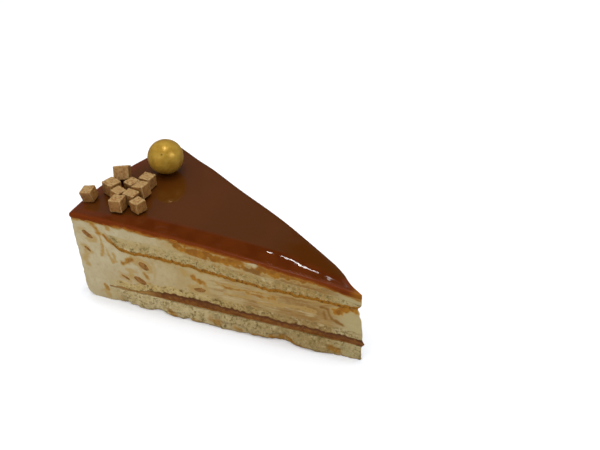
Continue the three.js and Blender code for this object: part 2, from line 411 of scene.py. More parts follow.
# Amber streaks and blots in the cream, where caramel ran down from the glaze: the
# corners, the half width, and how strong the stain is.
STAINS = [
    ([(111.5, 40), (109.1, 36.6), (108.3, 34.8)], 1.1, 0.95),
    ([(108.3, 34.8), (108, 31.4), (107.6, 28.5), (107.6, 26.4)], 0.7, 0.65),
    ([(108, 25.3), (109.1, 23.2)], 0.9, 0.65),
    ([(104.3, 40.6), (103.8, 37.8)], 0.9, 0.7),
    ([(106.1, 26.8), (105.5, 23.9), (104.1, 21.2)], 0.9, 0.6),
    ([(103.8, 25.3), (102.7, 21.5)], 0.8, 0.6),
    ([(115.6, 24.5), (116.2, 20.7), (116.2, 17)], 1.5, 0.5),
    ([(99.5, 21.3), (97.8, 23.3), (95.7, 24.8)], 1.1, 0.9),
    ([(98.6, 18.4), (94.1, 18.1)], 1.0, 0.45),
    ([(91, 18.9), (89.7, 16.6)], 1.1, 0.85),
    ([(86.1, 25.8), (85.6, 20.7), (86.6, 16)], 0.9, 0.35),
    ([(81, 36.4), (78.5, 36.1)], 0.8, 0.35),
    ([(73.8, 25.4), (71.4, 23.3)], 1.2, 0.5),
    ([(68.5, 22.4), (66, 21.7), (63.9, 20.9)], 1.25, 0.95),
    ([(71.3, 17.4), (69.1, 17)], 0.9, 0.6),
    ([(94, 11.6), (88.2, 13.4)], 1.1, 0.6),
    ([(58.6, 22.7), (54.9, 21), (50.2, 21.1)], 0.75, 0.85),
    ([(56.1, 22.3), (50.2, 22.3)], 0.6, 0.6),
    ([(55.6, 17.6), (50.1, 18.1), (44, 18.2)], 0.55, 0.6),
    ([(55, 20.3), (46.4, 21.7), (39.3, 22.4), (33, 22)], 0.65, 0.75),
    ([(46, 20.6), (39, 20.5), (34.1, 21.1)], 0.9, 0.85),
    ([(41.3, 17), (37.1, 17.2), (31, 17.9)], 0.5, 0.6),
    ([(39.5, 19.4), (30.1, 19.2), (22, 19.6)], 0.7, 0.6),
    ([(21.6, 19.6), (18.5, 19.3)], 1.1, 0.7),
    ([(9.9, 21.8), (7.6, 23.4), (5.5, 24.4), (2, 24)], 1.6, 1.2),
    ([(105.4, 33.6), (104.6, 32.6), (103, 30.8)], 1.3, 1.1),
    ([(110, 7.4), (109.2, 5.4)], 0.8, 0.8),
    ([(110.6, 4), (108.4, 2.2)], 1.2, 0.5),
]

# Toffee bits: distance from the tip, height, half length, half width and tilt in degrees.
# Each has an amber halo.
SHOWN_BITS = [
    (113.7, 32.7, 3.0, 1.35, -38),
    (90.3, 22.3, 3.0, 1.75, -38),
    (93.3, 14.2, 3.4, 1.55, -24),
    (66.2, 16.9, 3.1, 1.25, 8),
    (114.8, 25.0, 1.9, 0.7, -42),
    (99.7, 14.2, 2.2, 0.75, -28),
]
for r, z, half_length, half_width, tilt in SHOWN_BITS:
    reach = half_length * np.array([math.cos(math.radians(tilt)), -math.sin(math.radians(tilt))])
    ends = [(r - reach[0], z - reach[1]), (r + reach[0], z + reach[1])]
    STAINS.append((ends, half_width + 0.7, 0.5))

# The broad orange smear right under the glaze.
SMEAR = [
    ([(76.5, 39.3), (74.5, 37.8), (71.2, 36.4)], 1.7, 1.1),
    ([(71.2, 36.2), (66.2, 35.2), (61.6, 34.9)], 2.4, 1.15),
    ([(61.6, 34.9), (57.8, 34.6), (53.6, 34.6)], 2.5, 1.15),
    ([(53.6, 34.6), (49.8, 34.4), (47, 34.2)], 2.6, 1.15),
    ([(41.5, 34.2), (37.7, 33.7), (33.4, 33.3)], 2.2, 1.1),
    ([(33.4, 33.6), (27.5, 33.2), (21.6, 33), (15.8, 32.4)], 1.4, 1.0),
    ([(15.8, 32.4), (6, 31.4)], 0.7, 0.7),
]

# Reddish caramel that runs through the cream near the tip.
REDDISH = [
    ([(15.6, 22), (13, 21.7), (12.4, 19.4), (11.3, 17.3), (7.3, 15.7)], 0.65, 1.0),
    ([(14.5, 20.2), (14, 16.8)], 0.55, 0.8),
    ([(44.6, 32.8), (42.2, 32.4), (40.4, 32.1)], 1.0, 1.1),
]

# Cream that came through the smear again.
PALE = [([(45.2, 36.2), (43, 35.8), (41.6, 35.4)], 0.9, 1.0)]


def other_side(strokes, shift):
    """The same kind of strokes for the hidden cut side, moved along the slice."""
    return [([(110 - abs(r + shift - 60) * 0.9, z) for r, z in c], w, s) for c, w, s in strokes]


print(len(STAINS) + len(SMEAR) + len(REDDISH), "strokes")

# %% [markdown]
# ## The bavarois cream
#
# The cream is poured in three parts that set together: a thin layer on the upper sponge,
# a thick one between the sponges, and the band outside them that makes the rim. Each
# part is a bent block, and the three are joined into one piece. The rim was set against
# a ring lined with pleated film, which leaves fine upright ribs. The cut is smooth, with
# a few pits where air bubbles were.


# %% Relief of the cream
GLAZE_LIP = 0.8


def cream_relief(r, z, side):
    """The cream's own relief on a cut side: faint lumps and small sharp pits."""
    place = side_coordinates(r, z, side)
    bubbles = -0.35 * pits(place, 3.2, 41, 0.05, 0.05, 0.14, 0.55)
    return 0.07 * blotches(place, 1.6, 42) + 0.04 * blotches(place, 0.7, 43) + bubbles


def halo(place, side, below, reach, seed):
    """A stain that crept down from a line: full at the line and gone where a point lies
    more than the reach below it. The reach changes along the line by noise."""
    uneven = reach * (1 + 0.9 * wavy(place, side, 1.0, 2.2, seed))
    return 1 - smooth(below, 0.1 * uneven, np.maximum(uneven, 0.1))


def glaze_halo(r, z, side, place):
    """The amber stain under the glaze's lower edge."""
    return 0.85 * halo(place, side, cream_over(r, side) - GLAZE_LIP - z, 1.2, 48)


def cream_marks(r, z, side):
    """The amounts of amber and of red caramel and of bare cream on both cut sides."""
    front = side < 0
    marks = []
    for strokes, shift in ((STAINS, 14), (SMEAR, 8), (REDDISH, 22), (PALE, 22)):
        shown = sum_of_strokes(r, z, strokes)
        hidden = sum_of_strokes(r, z, other_side(strokes, shift))
        marks.append(np.where(front, shown, hidden))
    stains, smear, red, pale = marks
    below = sponge_under(r, side) - z
    under_sponge = 0.6 * halo(r, side, below, 0.9, 49) * (below > -0.1)
    under_sponge = under_sponge * (1 - smooth(r, SPONGE_END - 2, SPONGE_END))
    return [np.maximum.reduce([stains, smear, glaze_halo(r, z, side, r), under_sponge]), red, pale]


# Amber runs on the rim: the corners are (place along the rim from its middle, height).
RIM_STAINS = [
    ([(-21.5, 39), (-22.2, 35.5), (-21.8, 32.8)], 0.9, 0.9),
    ([(-6.4, 40), (-6, 36.5)], 1.1, 0.7),
    ([(-6, 36.5), (-5.2, 33), (-5.5, 29.6)], 0.6, 0.6),
    ([(19.4, 39.6), (20.5, 36.2)], 1.0, 0.8),
    ([(8.6, 25.4), (12.9, 23.1)], 1.2, 0.6),
    ([(-15.7, 18.4), (-12.6, 17.2)], 1.0, 0.7),
    ([(22.5, 16.2), (23.6, 12.9)], 0.9, 0.5),
    ([(1.2, 12.2), (4.3, 10.4)], 0.9, 0.45),
]


def rim_stain(v, z):
    """The amount of amber caramel on the rim: its runs, and a halo under the glaze."""
    arc = RADIUS * HALF_ANGLE * v
    nothing = 0 * z
    under_glaze = glaze_halo(RADIUS + nothing, z, 1 + nothing, arc)
    return np.maximum(sum_of_strokes(arc, z, RIM_STAINS), under_glaze)


# %% The three parts of the cream
CELL = 0.36
RIM_DRAFT = 0.6
FOOT_ROUNDING = 3.2
steps = round((PACK_END - TIP_START) / CELL)


def cream_part(upward, r0, r1, under, over, along, across=10):
    """The lattice of one part of the cream, with its relief on the cut sides."""
    r, v, side, z, _, quads = layer_points(along, upward, r0, r1, under, over, across)
    out = knife_waves(r, z, side) + cream_relief(r, z, side)
    return [r, v, side, z, out, quads]


def rim_radius(r, v, z):
    """The rim leans in a little to its foot, which is rounded, and has upright ribs."""
    foot = 1 - np.clip(z / FOOT_ROUNDING, 0, 1)
    arc = np.stack([RADIUS * HALF_ANGLE * v, z / 9, 0 * z], axis=1)
    ribs = 0.16 * blotches(arc, 0.9, 44) + 0.25 * blotches(arc, 6.0, 45)
    flat = np.stack([RADIUS * HALF_ANGLE * v, z, 0 * z], axis=1)
    lumps = 0.25 * blotches(flat, 1.9, 46) + 0.12 * blotches(flat, 0.9, 50)
    bubbles = -0.5 * pits(flat, 3.0, 47, 0.05, 0.05, 0.16, 0.4)
    shrink = RIM_DRAFT * (1 - z / TOP) + FOOT_ROUNDING * foot**2
    outward = np.clip((r - PACK_END) / (RADIUS - PACK_END), 0, 1)
    fine = (ribs + lumps + bubbles) * smooth(outward, 0.9, 1.0)
    return r - outward * shrink + fine


CREAM_CORNER = 0.7
GLAZE_CORNER = 1.6


def rounded_corner(to_cut, to_rim, size):
    """How far to shift a point in from the cut side and in from the rim, to round the
    corner between them: the square of points near both edges is squeezed into a
    quarter disc, each point moving straight towards the square's inner corner."""
    a = np.clip(1 - to_cut / size, 0, 1)
    b = np.clip(1 - to_rim / size, 0, 1)
    squeeze = np.maximum(a, b) / np.maximum(np.hypot(a, b), 1e-9)
    return size * a * (1 - squeeze), size * b * (1 - squeeze)


def bottom(r, side):
    """The cake stands level, whatever the side."""
    return 0 * r


parts = [
    cream_part(16, TIP_START, PACK_END, sponge_over, cream_over, steps),
    cream_part(34, TIP_START, PACK_END, pack_over, sponge_under, steps),
    cream_part(96, PACK_END, RADIUS, bottom, cream_over, 30, across=150),
]
r, v, side, z, out, quads = parts[2]
from_cut, from_rim = rounded_corner(r * (1 - np.abs(v)) * HALF_ANGLE, RADIUS - r, CREAM_CORNER)
parts[2][0] = rim_radius(r, v, z) - from_rim
parts[2][1] = v * (1 - from_cut / (r * HALF_ANGLE))

lattices, cream_values = [], []
for r, v, side, z, out, quads in parts:
    lattices.append((bend(r, v, z, out), quads))
    near_cut = np.abs(v) > 0.9
    stain, red, pale = (m * near_cut for m in cream_marks(r, z, side))
    stain = np.maximum(stain, rim_stain(v, z) * (r > RADIUS - 4))
    cream_values.append([stain, red, pale, r])
stain, red, pale, along = (np.concatenate([c[n] for c in cream_values]) for n in range(4))
cream = make_piece(
    "bavarois_cream", *joined(lattices), "cream", ["bavarois"],
    stain=stain, red=red, pale=pale, along=along,
)

# %% [markdown]
# ## The sponges
#
# Sponge cake is all pores. On a cut side two sizes of random spots are pressed in: open
# pores about a millimetre wide and fine ones between them. The same distances become an
# attribute that paints shade into the hollow of a pore, so that it looks darker than its
# wall. Sponge that soaked up caramel is brown: the upper sponge along its underside, the
# thin sponge where it lies on the filling, and the base here and there.


# %% Crumb
def crumb(r, z, side, coarse=1.7, fine=0.9, seed=51):
    """Relief in millimetres of torn crumb, and a darkness from 0 to 1 that is painted shade
    in its pores: near a spot the surface is pressed in, and pores differ in size by the
    spot's random number."""
    place = side_coordinates(r, z, side)
    bent = place + 0.5 * blotches(place, 1.1, seed + 11)[:, None]
    big = pits(bent, coarse, seed, 0.1, 0.2, 0.3, 0.3)
    small = pits(bent, fine, seed + 5, 0.1, 0.25, 0.25)
    lumps = blotches(place, 2.6, seed + 9)
    return -0.35 * big - 0.15 * small + 0.2 * lumps, np.clip(0.8 * big + 0.35 * small, 0, 1)


def sponge_piece(name, node, slot, upward, r1, under, over, recess, swell=None, seed=51, marks=()):
    """A sponge layer as one dense block with torn cut sides, and its attributes: how much
    shade is painted into the pores, the height above its underside in millimetres, and stains."""
    along = round((r1 - TIP_START) / CELL)
    r, v, side, z, share, quads = layer_points(along, upward, TIP_START, r1, under, over)
    relief, dark = crumb(r, z, side, seed=seed)
    out = relief - recess
    if swell:
        out = out + swell(r, z, share, side)
    out = knife_waves(r, z, side) + out * (1 - smooth(r, r1 - 5, r1))
    depth = z - under(r, side)
    points = bend(r, v, z, out)
    stain = sum_of_strokes(r, z, marks)
    return make_piece(name, points, quads, slot, [node], dark=dark, depth=depth, along=r, stain=stain)


# %% The upper sponge and the thin sponge
upper_sponge = sponge_piece(
    "upper_sponge_cake", "upper_sponge", "soaked_sponge", 24, SPONGE_END,
    sponge_under, sponge_over, recess=0.1, marks=[*SMEAR, REDDISH[-1]],
)
thin_sponge = sponge_piece(
    "thin_sponge_cake", "thin_sponge", "sponge", 12, PACK_END,
    caramel_over, pack_over, recess=0.05, seed=71,
)

# %% [markdown]
# The base carries the whole slice. It swells out of the cut midway along, a few crumbs
# have dropped off its lower edge, and cracks run through it. Caramel stained it in spots.

# %% The base sponge
BASE_SWELL = 1.7
CRACKS = [
    ([(60.2, 6), (57.8, 3.6), (54.3, 3.4), (51.2, 4.3), (47, 3.2)], 0.4, 1.0),
    ([(84, 4.4), (80.5, 2.4), (76, 2.6), (72, 1.2)], 0.4, 0.9),
    ([(38, 2.6), (33, 3.4), (28, 2.2), (24.5, 0.6)], 0.45, 1.0),
    ([(14, 4.2), (10.5, 3), (7.5, 3.6)], 0.4, 0.9),
    ([(98, 3), (94.5, 4.1), (91, 3.2)], 0.4, 0.8),
]
BASE_STAINS = [
    ([(80.8, 2.9), (78.6, 0.6)], 1.3, 0.9),
    ([(61.7, 3.8), (58.8, 2.5)], 1.1, 0.7),
    ([(51.3, 2.8), (48.8, 1.9)], 0.9, 0.8),
    ([(36.3, 1.4), (32.1, 1.5)], 1.0, 0.9),
    ([(29, 2), (22.6, 0.4)], 1.1, 0.9),
    ([(12.2, 3.4), (9, 2.3)], 1.1, 0.8),
    ([(108, 4.6), (104, 2)], 1.5, 0.55),
    ([(70, 1), (66, 0.6)], 0.9, 0.6),
    ([(44, 0.8), (40, 0.9)], 0.9, 0.7),
]


def base_swell(r, z, share, side):
    """Out in the middle of the slice, most at its foot, with two places crumbled away,
    lumps of torn crumb, and cracks pressed in."""
    midway = smooth(r, 2, 16) * (1 - smooth(r, 90, 104))
    crumbled = hump(r, 86, 3) + hump(r, 32, 4.5)
    upward = 1.05 - 0.85 * share + 0.25 * np.sin(math.pi * share)
    low_edge = (1 - smooth(share, 0, 0.25)) * (0.8 + 0.5 * wavy(r, side, 1.0, 2.2, 61))
    low_edge = low_edge * smooth(r, 3, 14)
    lumps = 0.35 * blotches(side_coordinates(r, z, side), 2.2, 62)
    cracks = 0.7 * sum_of_strokes(r, z, CRACKS)
    return BASE_SWELL * midway * (1 - crumbled) * upward - low_edge + lumps - cracks


base_sponge = sponge_piece(
    "base_sponge_cake", "base_sponge", "sponge", 20, PACK_END,
    bottom, base_over, recess=0.0, swell=base_swell, seed=81, marks=BASE_STAINS,
)

# %% [markdown]
# ## The caramel filling
#
# The filling is soft and dark, pulled a little back by the knife except at the tip,
# where a drop of it stands out. Its top follows the crumbs of the sponge above.

# %% The caramel layer
r, v, side, z, share, quads = layer_points(steps, 10, TIP_START, PACK_END, base_over, caramel_over)
place = side_coordinates(r, z, side)
out = knife_waves(r, z, side) - 0.25 + 0.15 * blotches(place, 2.2, 91) + 0.06 * blotches(place, 0.8, 92)
out = out + 0.25 * np.sin(math.pi * share)
caramel = make_piece(
    "caramel_layer", bend(r, v, z, out), quads, "caramel", ["caramel_filling"],
    depth=share, along=r,
)

# %% [markdown]
# ## The glaze
#
# A warm glaze is poured over the cold cake, and the hot knife makes its edges sag and
# roll over before it sets. In section, from the middle outwards, the level top first
# bends into a gentle slope some millimetres from the edge, and then turns down in a
# quarter circle at the very edge. Its wall bulges, and its lower edge creeps down over
# the cream. Slow waves in the surface bend the reflections, and a few air bubbles that
# rose to the edge left faint rings.

# %% The glaze's edge in section
FAR_SLOPE = 0.6
NARROW_SLOPE = 4.5
BROAD_SLOPE = 9.0
FIRST_TILT = math.tan(math.radians(4.8))
LAST_TILT = math.tan(math.radians(8.0))
EDGE_RADIUS = 1.1
CORNER_POWER = 2.5
inwards = np.linspace(0, 1, 400)
tilt = FIRST_TILT * smooth(inwards, 0, 0.2) + (LAST_TILT - FIRST_TILT) * inwards
SUMMED_TILT = np.cumsum(tilt) / len(inwards)


def edge_drop(to_edge, width):
    """How far the top lies below its level at a distance from an edge. The gentle slope
    is summed up from its tilt on a fine line of points, and looked up by the share of its
    width; the quarter circle is one minus the square root of one minus a square."""
    gentle = width * np.interp(1 - to_edge / width, inwards, SUMMED_TILT, left=0)
    radius = np.minimum(EDGE_RADIUS, 1.3 * width)
    out = 1 - np.clip(to_edge / radius, 0, 1)
    return gentle + radius * (1 - np.sqrt(1 - out**2))


def slope_width(r, side):
    """Broad along the middle of the shown side and less at both its ends; the far side,
    which the knife left last, hardly sagged."""
    near = NARROW_SLOPE + (BROAD_SLOPE - NARROW_SLOPE) * (1 - smooth(r, 88, 108))
    near = near - 0.5 * BROAD_SLOPE * (1 - smooth(r, 5, 35))
    return np.where(side < 0, near, FAR_SLOPE)


# %% The glaze in plan
def crowd_ends(u):
    """Steps from 0 to 1 that crowd together at both ends, by a half cosine."""
    return 0.15 * u + 0.85 * (0.5 - 0.5 * np.cos(math.pi * u))


share, quads = block_outside(320, 120, 6)
r = TIP_START + (RADIUS + OVERHANG - TIP_START) * crowd_ends(share[:, 0])
v = 2 * crowd_ends(share[:, 1]) - 1
side = np.where(v > 0, 1.0, -1.0)
angle = v * (HALF_ANGLE + OVERHANG / np.maximum(r, 12))
x = TIP_X - r * np.cos(angle)
y = r * np.sin(angle)
to_middle = (TIP_X - x) * SINE + OVERHANG
to_sides = [to_middle + y * COSINE, to_middle - y * COSINE]
to_rim = RADIUS + OVERHANG - r
edge = np.minimum(np.minimum(*to_sides), to_rim)
print(f"glaze: edge distance up to {edge.max():.1f} mm")

# %% The glaze's top and underside
# Rings of bubbles: distance from the tip, distance from the edge, and size.
BUBBLES = [(81.2, 3.3, 2.3), (75.2, 1.7, 1.3), (57.5, 3.0, 0.9), (37, 1.5, 0.8)]
THINNEST = 0.25
THICKER_AT_RIM = 0.8

flat = np.stack([x, y, 0 * x], axis=1)
waves = 0.04 * blotches(flat, 14.0, 101) + 0.01 * blotches(flat, 5.0, 102)
near_edge = 1 - smooth(edge, 1.5, 8)
waves = waves + near_edge * (0.012 * blotches(flat, 4.0, 103) + 0.003 * blotches(flat, 1.6, 106))
for bubble_r, bubble_edge, size in BUBBLES:
    away = np.hypot(r - bubble_r, (to_sides[0] - bubble_edge) * 1.6)
    waves = waves + 0.1 * hump(away, size, 0.35)
widths = [slope_width(r, -1), slope_width(r, 1)]
dropped = sum(edge_drop(to_side, width) for to_side, width in zip(to_sides, widths))
sloping = np.maximum(1 - smooth(to_sides[0] / widths[0], 0.85, 1.1), 1 - smooth(to_rim, 3, 6))
at_rim = edge_drop(to_rim, NARROW_SLOPE)
over = glaze_over(r) - (dropped**CORNER_POWER + at_rim**CORNER_POWER) ** (1 / CORNER_POWER) + waves
lip = 0.2 + 0.9 * np.abs(wavy(r, side, 1.0, 5.0, 104)) + 0.4 * wavy(r, side, 1.0, 1.7, 105)
lip = lip * (0.3 + 0.7 * smooth(r, 2, 12))
under = cream_over(r, side) - lip * (1 - smooth(edge, 0, 0.5))
thinnest = THINNEST + THICKER_AT_RIM * smooth(r, 98, 116)
z = under + (np.maximum(over, under + thinnest) - under) * share[:, 2]
print(f"glaze: top between {over.min():.1f} and {over.max():.1f} mm")

# %% The glaze's wall
bulge = 0.25 * np.sin(math.pi * share[:, 2]) * (1 - smooth(edge, 0, 0.3))
on_rim = share[:, 0] > 0.999
on_cut = (np.abs(v) > 0.999) & ~on_rim
from_cut, from_rim = rounded_corner(np.minimum(*to_sides), to_rim, GLAZE_CORNER)
push = bulge * on_cut - from_cut + far_bulge(r) * np.clip(v, 0, 1)
x += (from_rim - rim_swell(r)) * np.cos(angle) + push * SINE
y += side * push * COSINE - (from_rim - rim_swell(r)) * np.sin(angle)
x += tip_reach(z) * (1 - smooth(r, 0, 9)) - bulge * on_rim * np.cos(angle)
y += bulge * on_rim * np.sin(angle)
glaze = make_piece(
    "caramel_glaze", np.stack([x, y, z], axis=1), quads, "glaze", ["glaze"], sharp=70,
    edge=edge, above=z - cream_over(r, side), along=r, sloping=sloping,
)

# %% [markdown]
# ## The gold ball
#
# A chocolate ball in a pearly gold coat: a little flattened, with a small pit where it
# was held. The grid has longitudes and latitudes, and its two tiny last rings are closed.

# %% A closed ball
ball_low, ball_high = box_mm("gold_ball")
ball_middle = (ball_low + ball_high) / 2
ball_half = (ball_high - ball_low) / 2
AROUND, RINGS = 160, 80


def ball_grid(around, rings):
    """Unit ball: a point is (sine of the polar angle times cosine and sine of the
    longitude, cosine of the polar angle). The first and the last ring are tiny, and a
    strip of quads from one side of the ring to the other closes each."""
    polar = np.linspace(0.012, math.pi - 0.012, rings)[:, None]
    turn = np.linspace(0, 2 * math.pi, around, endpoint=False)[None, :]
    grid = np.stack(
        [np.sin(polar) * np.cos(turn), np.sin(polar) * np.sin(turn), np.cos(polar) + 0 * turn],
        axis=-1,
    ).reshape(-1, 3)
    number = np.arange(rings * around).reshape(rings, around)
    ring = np.concatenate([number, number[:, :1]], axis=1)
    body = np.stack([ring[:-1, :-1], ring[1:, :-1], ring[1:, 1:], ring[:-1, 1:]], axis=-1)
    half = np.arange(around // 2 - 1)
    caps = [
        np.stack([n[half], n[half + 1], n[-half - 2], n[-half - 1]], axis=-1)
        for n in (number[0], number[-1][::-1])
    ]
    return grid, np.concatenate([body.reshape(-1, 4), *caps])


grid, quads = ball_grid(AROUND, RINGS)
PIT = np.array([0.42, -0.66, 0.62])
pit = hump(np.linalg.norm(grid - PIT / np.linalg.norm(PIT), axis=1), 0, 0.05)
dents = 0.05 * blotches(grid * ball_half, 2.5, 111) + 0.012 * blotches(grid * ball_half, 0.6, 112)
ball_points = grid * (ball_half + dents[:, None] - 0.25 * pit[:, None] + 0.08) + ball_middle
ball = make_piece(
    "gold_chocolate_ball", ball_points, quads, "gold_coating", ["gold_ball"], pit=pit,
)

# %% [markdown]
# ## The fudge cubes
#
# Each cube of the frame tells its own middle and its three axes: its large flat faces
# all look along one of them. The piece is a fine cube grid, its edges rounded by moving
# each point to a small ball around an inner cube, then roughened by sugar crystals.


# %% Axes of a cube from its faces
def rows_of(items, key, width):
    """One property of all vertices or polygons, as an array of rows."""
    values = np.empty(width * len(items))
    items.foreach_get(key, values)
    return values.reshape(-1, width)


def cube_pose(node):
    """The middle of a cube node, its three axes as columns and its half edges. The axes
    are the directions that most of its surface faces, found one after another."""
    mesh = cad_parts[node].data
    points = rows_of(mesh.vertices, "co", 3) / MM
    area = rows_of(mesh.polygons, "area", 1)[:, 0]
    normal = rows_of(mesh.polygons, "normal", 3)
    axes = []
    for _ in range(3):
        free = [1 - np.abs(normal @ a) for a in axes]
        weight = area * np.all([f > 0.7 for f in free], axis=0) if free else area
        axes.append(normal[np.argmax(weight)])
    axes = np.array(axes).T
    inside = points @ axes
    middle = axes @ ((inside.max(0) + inside.min(0)) / 2)
    return middle, axes, (inside.max(0) - inside.min(0)) / 2


# %% Ten rough cubes
CUBE_CELLS = 22
EDGE_ROUNDING = 0.4
cubes = []
for number in range(1, 11):
    node = f"fudge_cube_{number:02d}"
    middle, axes, half = cube_pose(node)
    share, quads = block_outside(CUBE_CELLS, CUBE_CELLS, CUBE_CELLS)
    local = (2 * share - 1) * half
    seed = 120 + 7 * number
    corner = blotches(np.sign(local) * 3.0, 1.7, seed)
    local = local * (1 + 0.05 * corner[:, None] * (np.abs(local) / half))
    inner = np.clip(local, -(half - EDGE_ROUNDING), half - EDGE_ROUNDING)
    away = local - inner
    length = np.linalg.norm(away, axis=1, keepdims=True)
    away = away / np.maximum(length, 1e-9)
    chips = -0.16 * pits(local, 1.1, seed + 1, 0.1, 0.45, 0.0, 0.6)
    rough = 0.05 * blotches(local, 1.4, seed + 2) + 0.05 * blotches(local, 0.5, seed + 3) + chips
    rounded = inner + away * (EDGE_ROUNDING + rough[:, None] + 0.04)
    nearness = np.sort(np.abs(local) / half, axis=1)
    main = np.argmax(np.abs(local) / half, axis=1)
    # The paler mask: faces that look up, partly sugar bloom and partly painted light from above, and the
    # edges, where sugar bloomed.
    facing_up = np.sign(local[np.arange(len(local)), main]) * axes[2, main]
    frost = np.clip(0.75 * smooth(facing_up, 0.2, 0.8) + smooth(nearness[:, 1], 0.82, 1.0), 0, 1)
    cubes.append(
        make_piece(
            f"fudge_{number:02d}", rounded @ axes.T + middle, quads, "fudge", [node],
            sharp=80, worn=np.clip(-chips * 6, 0, 1), frost=frost,
        )
    )

# %% [markdown]
# ## Toffee bits
#
# Crunchy bits of toffee were stirred into the cream, and the knife went through them.
# Each is a small flat lens lying in the cut, sunk but for a fraction of a millimetre.
# On the side that shows they lie at the places seen there, and on the hidden side they
# are scattered by a seeded draw.


# %% Lenses in the cut
def lens(along, height, half_length, half_width, tilt, side, seed):
    """A lens in side coordinates, its long axis tilted by degrees from the level: a
    ball stretched two ways, its outline frayed by noise. It stands out by the square of
    the ball's third coordinate, so that it has no rim."""
    grid, quads = ball_grid(36, 16)
    rough = 1 + 0.16 * blotches(grid * 2 + seed, 0.9, seed)
    flat = grid[:, :2] * rough[:, None] * np.array([half_length, half_width])
    turn = math.radians(tilt)
    to_tip = flat[:, 0] * math.cos(turn) - flat[:, 1] * math.sin(turn)
    up = flat[:, 0] * math.sin(turn) + flat[:, 1] * math.cos(turn)
    r = along - to_tip
    z = height + up
    v = np.full(len(r), side)
    out = knife_waves(r, z, v) - 0.1 + 0.36 * grid[:, 2] * np.abs(grid[:, 2])
    return bend(r, v, z, out), quads


draw = np.random.default_rng(7)
lenses = [lens(*bit, side=-1.0, seed=200 + n) for n, bit in enumerate(SHOWN_BITS)]
for n in range(12):
    place = (draw.uniform(60, 117), draw.uniform(17, 24), draw.uniform(1.4, 3.2))
    lenses.append(lens(*place, draw.uniform(0.9, 1.7), draw.uniform(-45, 20), side=1.0, seed=300 + n))
bits = make_piece("toffee_bits", *joined(lenses), "fudge")

# %% [markdown]
# ## Finishes
#
# Each finish is a small graph of nodes. Patterns read Object coordinates, so they have
# a true size and stay put when the camera moves; the attributes made above say where
# caramel soaked in and where pores are deep. A graph is built like a painting: a ground
# colour first, and then one colour after another laid over it where a mask says so.


# %% Node helpers
def srgb(red, green, blue):
    """A colour given from 0 to 255, as the linear colour that nodes use."""
    c = np.array([red, green, blue]) / 255
    linear = np.where(c <= 0.04045, c / 12.92, ((c + 0.055) / 1.055) ** 2.4)
    return (*linear, 1.0)


def add_node(tree, kind, inputs=(), **settings):
    """A node with its settings; inputs gives each socket a value or another's output."""
    node = tree.nodes.new(kind)
    for key, value in settings.items():
        setattr(node, key, value)
    for key, value in dict(inputs).items():
        if isinstance(value, bpy.types.NodeSocket):
            tree.links.new(value, node.inputs[key])
        else:
            node.inputs[key].default_value = value
    return node


# %% A finish in the making
class Finish:
    """A material whose tone is the colour painted so far. Masks go from 0 to 1, colours
    are (red, green, blue) from 0 to 255, and sizes are millimetres."""

    def __init__(self, name, roughness, **sockets):
        """Values for the shader's sockets go by their names, with _ for a space."""
        self.material = bpy.data.materials.new(name)
        self.material.use_nodes = True
        self.tree = self.material.node_tree
        self.shader = self.tree.nodes["Principled BSDF"]
        self.shader.inputs["Roughness"].default_value = roughness
        for key, value in sockets.items():
            self.shader.inputs[key.replace("_", " ")].default_value = value

    def link(self, output, socket):
        """Let an output drive a socket of the shader."""
        self.tree.links.new(output, self.shader.inputs[socket])

    def place(self):
        """Object coordinates."""
        return add_node(self.tree, "ShaderNodeTexCoord").outputs["Object"]

    def noise(self, size, detail=2.0, roughness=0.5, stretch=(1, 1, 1)):
        """Noise of that feature size, longer along an axis stretched by less than 1."""
        scaled = add_node(self.tree, "ShaderNodeMapping", {"Vector": self.place(), "Scale": stretch})
        inputs = {"Vector": scaled.outputs[0], "Scale": 1 / (size * MM)}
        inputs.update({"Detail": detail, "Roughness": roughness})
        return add_node(self.tree, "ShaderNodeTexNoise", inputs).outputs["Fac"]

    def attribute(self, name):
        """A value that the mesh carries."""
        return add_node(self.tree, "ShaderNodeAttribute", attribute_name=name).outputs["Fac"]

    def mask(self, value, low, high):
        """0 below low and 1 above high, with a smooth S between; low may be the larger."""
        inputs = {"Value": value, "From Min": low, "From Max": high}
        return add_node(self.tree, "ShaderNodeMapRange", inputs, interpolation_type="SMOOTHSTEP").outputs[0]

    def slide(self, value, low, high, at_low, at_high):
        """A straight line from one number to another, and level outside."""
        inputs = {"Value": value, 1: low, 2: high, 3: at_low, 4: at_high}
        return add_node(self.tree, "ShaderNodeMapRange", inputs).outputs[0]

    def times(self, a, b):
        """The product of two outputs or numbers."""
        return add_node(self.tree, "ShaderNodeMath", {0: a, 1: b}, operation="MULTIPLY").outputs[0]

    def plus(self, a, b):
        """Their sum."""
        return add_node(self.tree, "ShaderNodeMath", {0: a, 1: b}, operation="ADD").outputs[0]

    def blend(self, mask, low, high):
        """The colour low where the mask is 0 and high where it is 1."""
        low, high = (srgb(*c) if isinstance(c, tuple) else c for c in (low, high))
        mix = add_node(self.tree, "ShaderNodeMix", {0: mask, 6: low, 7: high}, data_type="RGBA")
        return mix.outputs[2]

    def ground(self, patch_size, detail, low, high, first, second):
        """The first colours: soft patches of two tones."""
        self.tone = self.blend(self.mask(self.noise(patch_size, detail), low, high), first, second)

    def paint(self, mask, colour, strength=1.0):
        """Lay a colour over the tone, by the mask times the strength."""
        if strength != 1.0:
            mask = self.times(mask, strength)
        self.tone = self.blend(mask, self.tone, colour)

    def cover(self, pieces, grain, detail, depth, strength, roughness=0.5):
        """Link the tone and a fine bump of that grain, and give the pieces the material."""
        height = self.noise(grain, detail, roughness)
        inputs = {"Height": height, "Distance": depth * MM, "Strength": strength}
        self.link(self.tone, "Base Color")
        self.link(add_node(self.tree, "ShaderNodeBump", inputs).outputs[0], "Normal")
        for piece in pieces:
            piece.data.materials.append(self.material)
        print(f"{self.material.name}: {len(self.tree.nodes)} nodes")
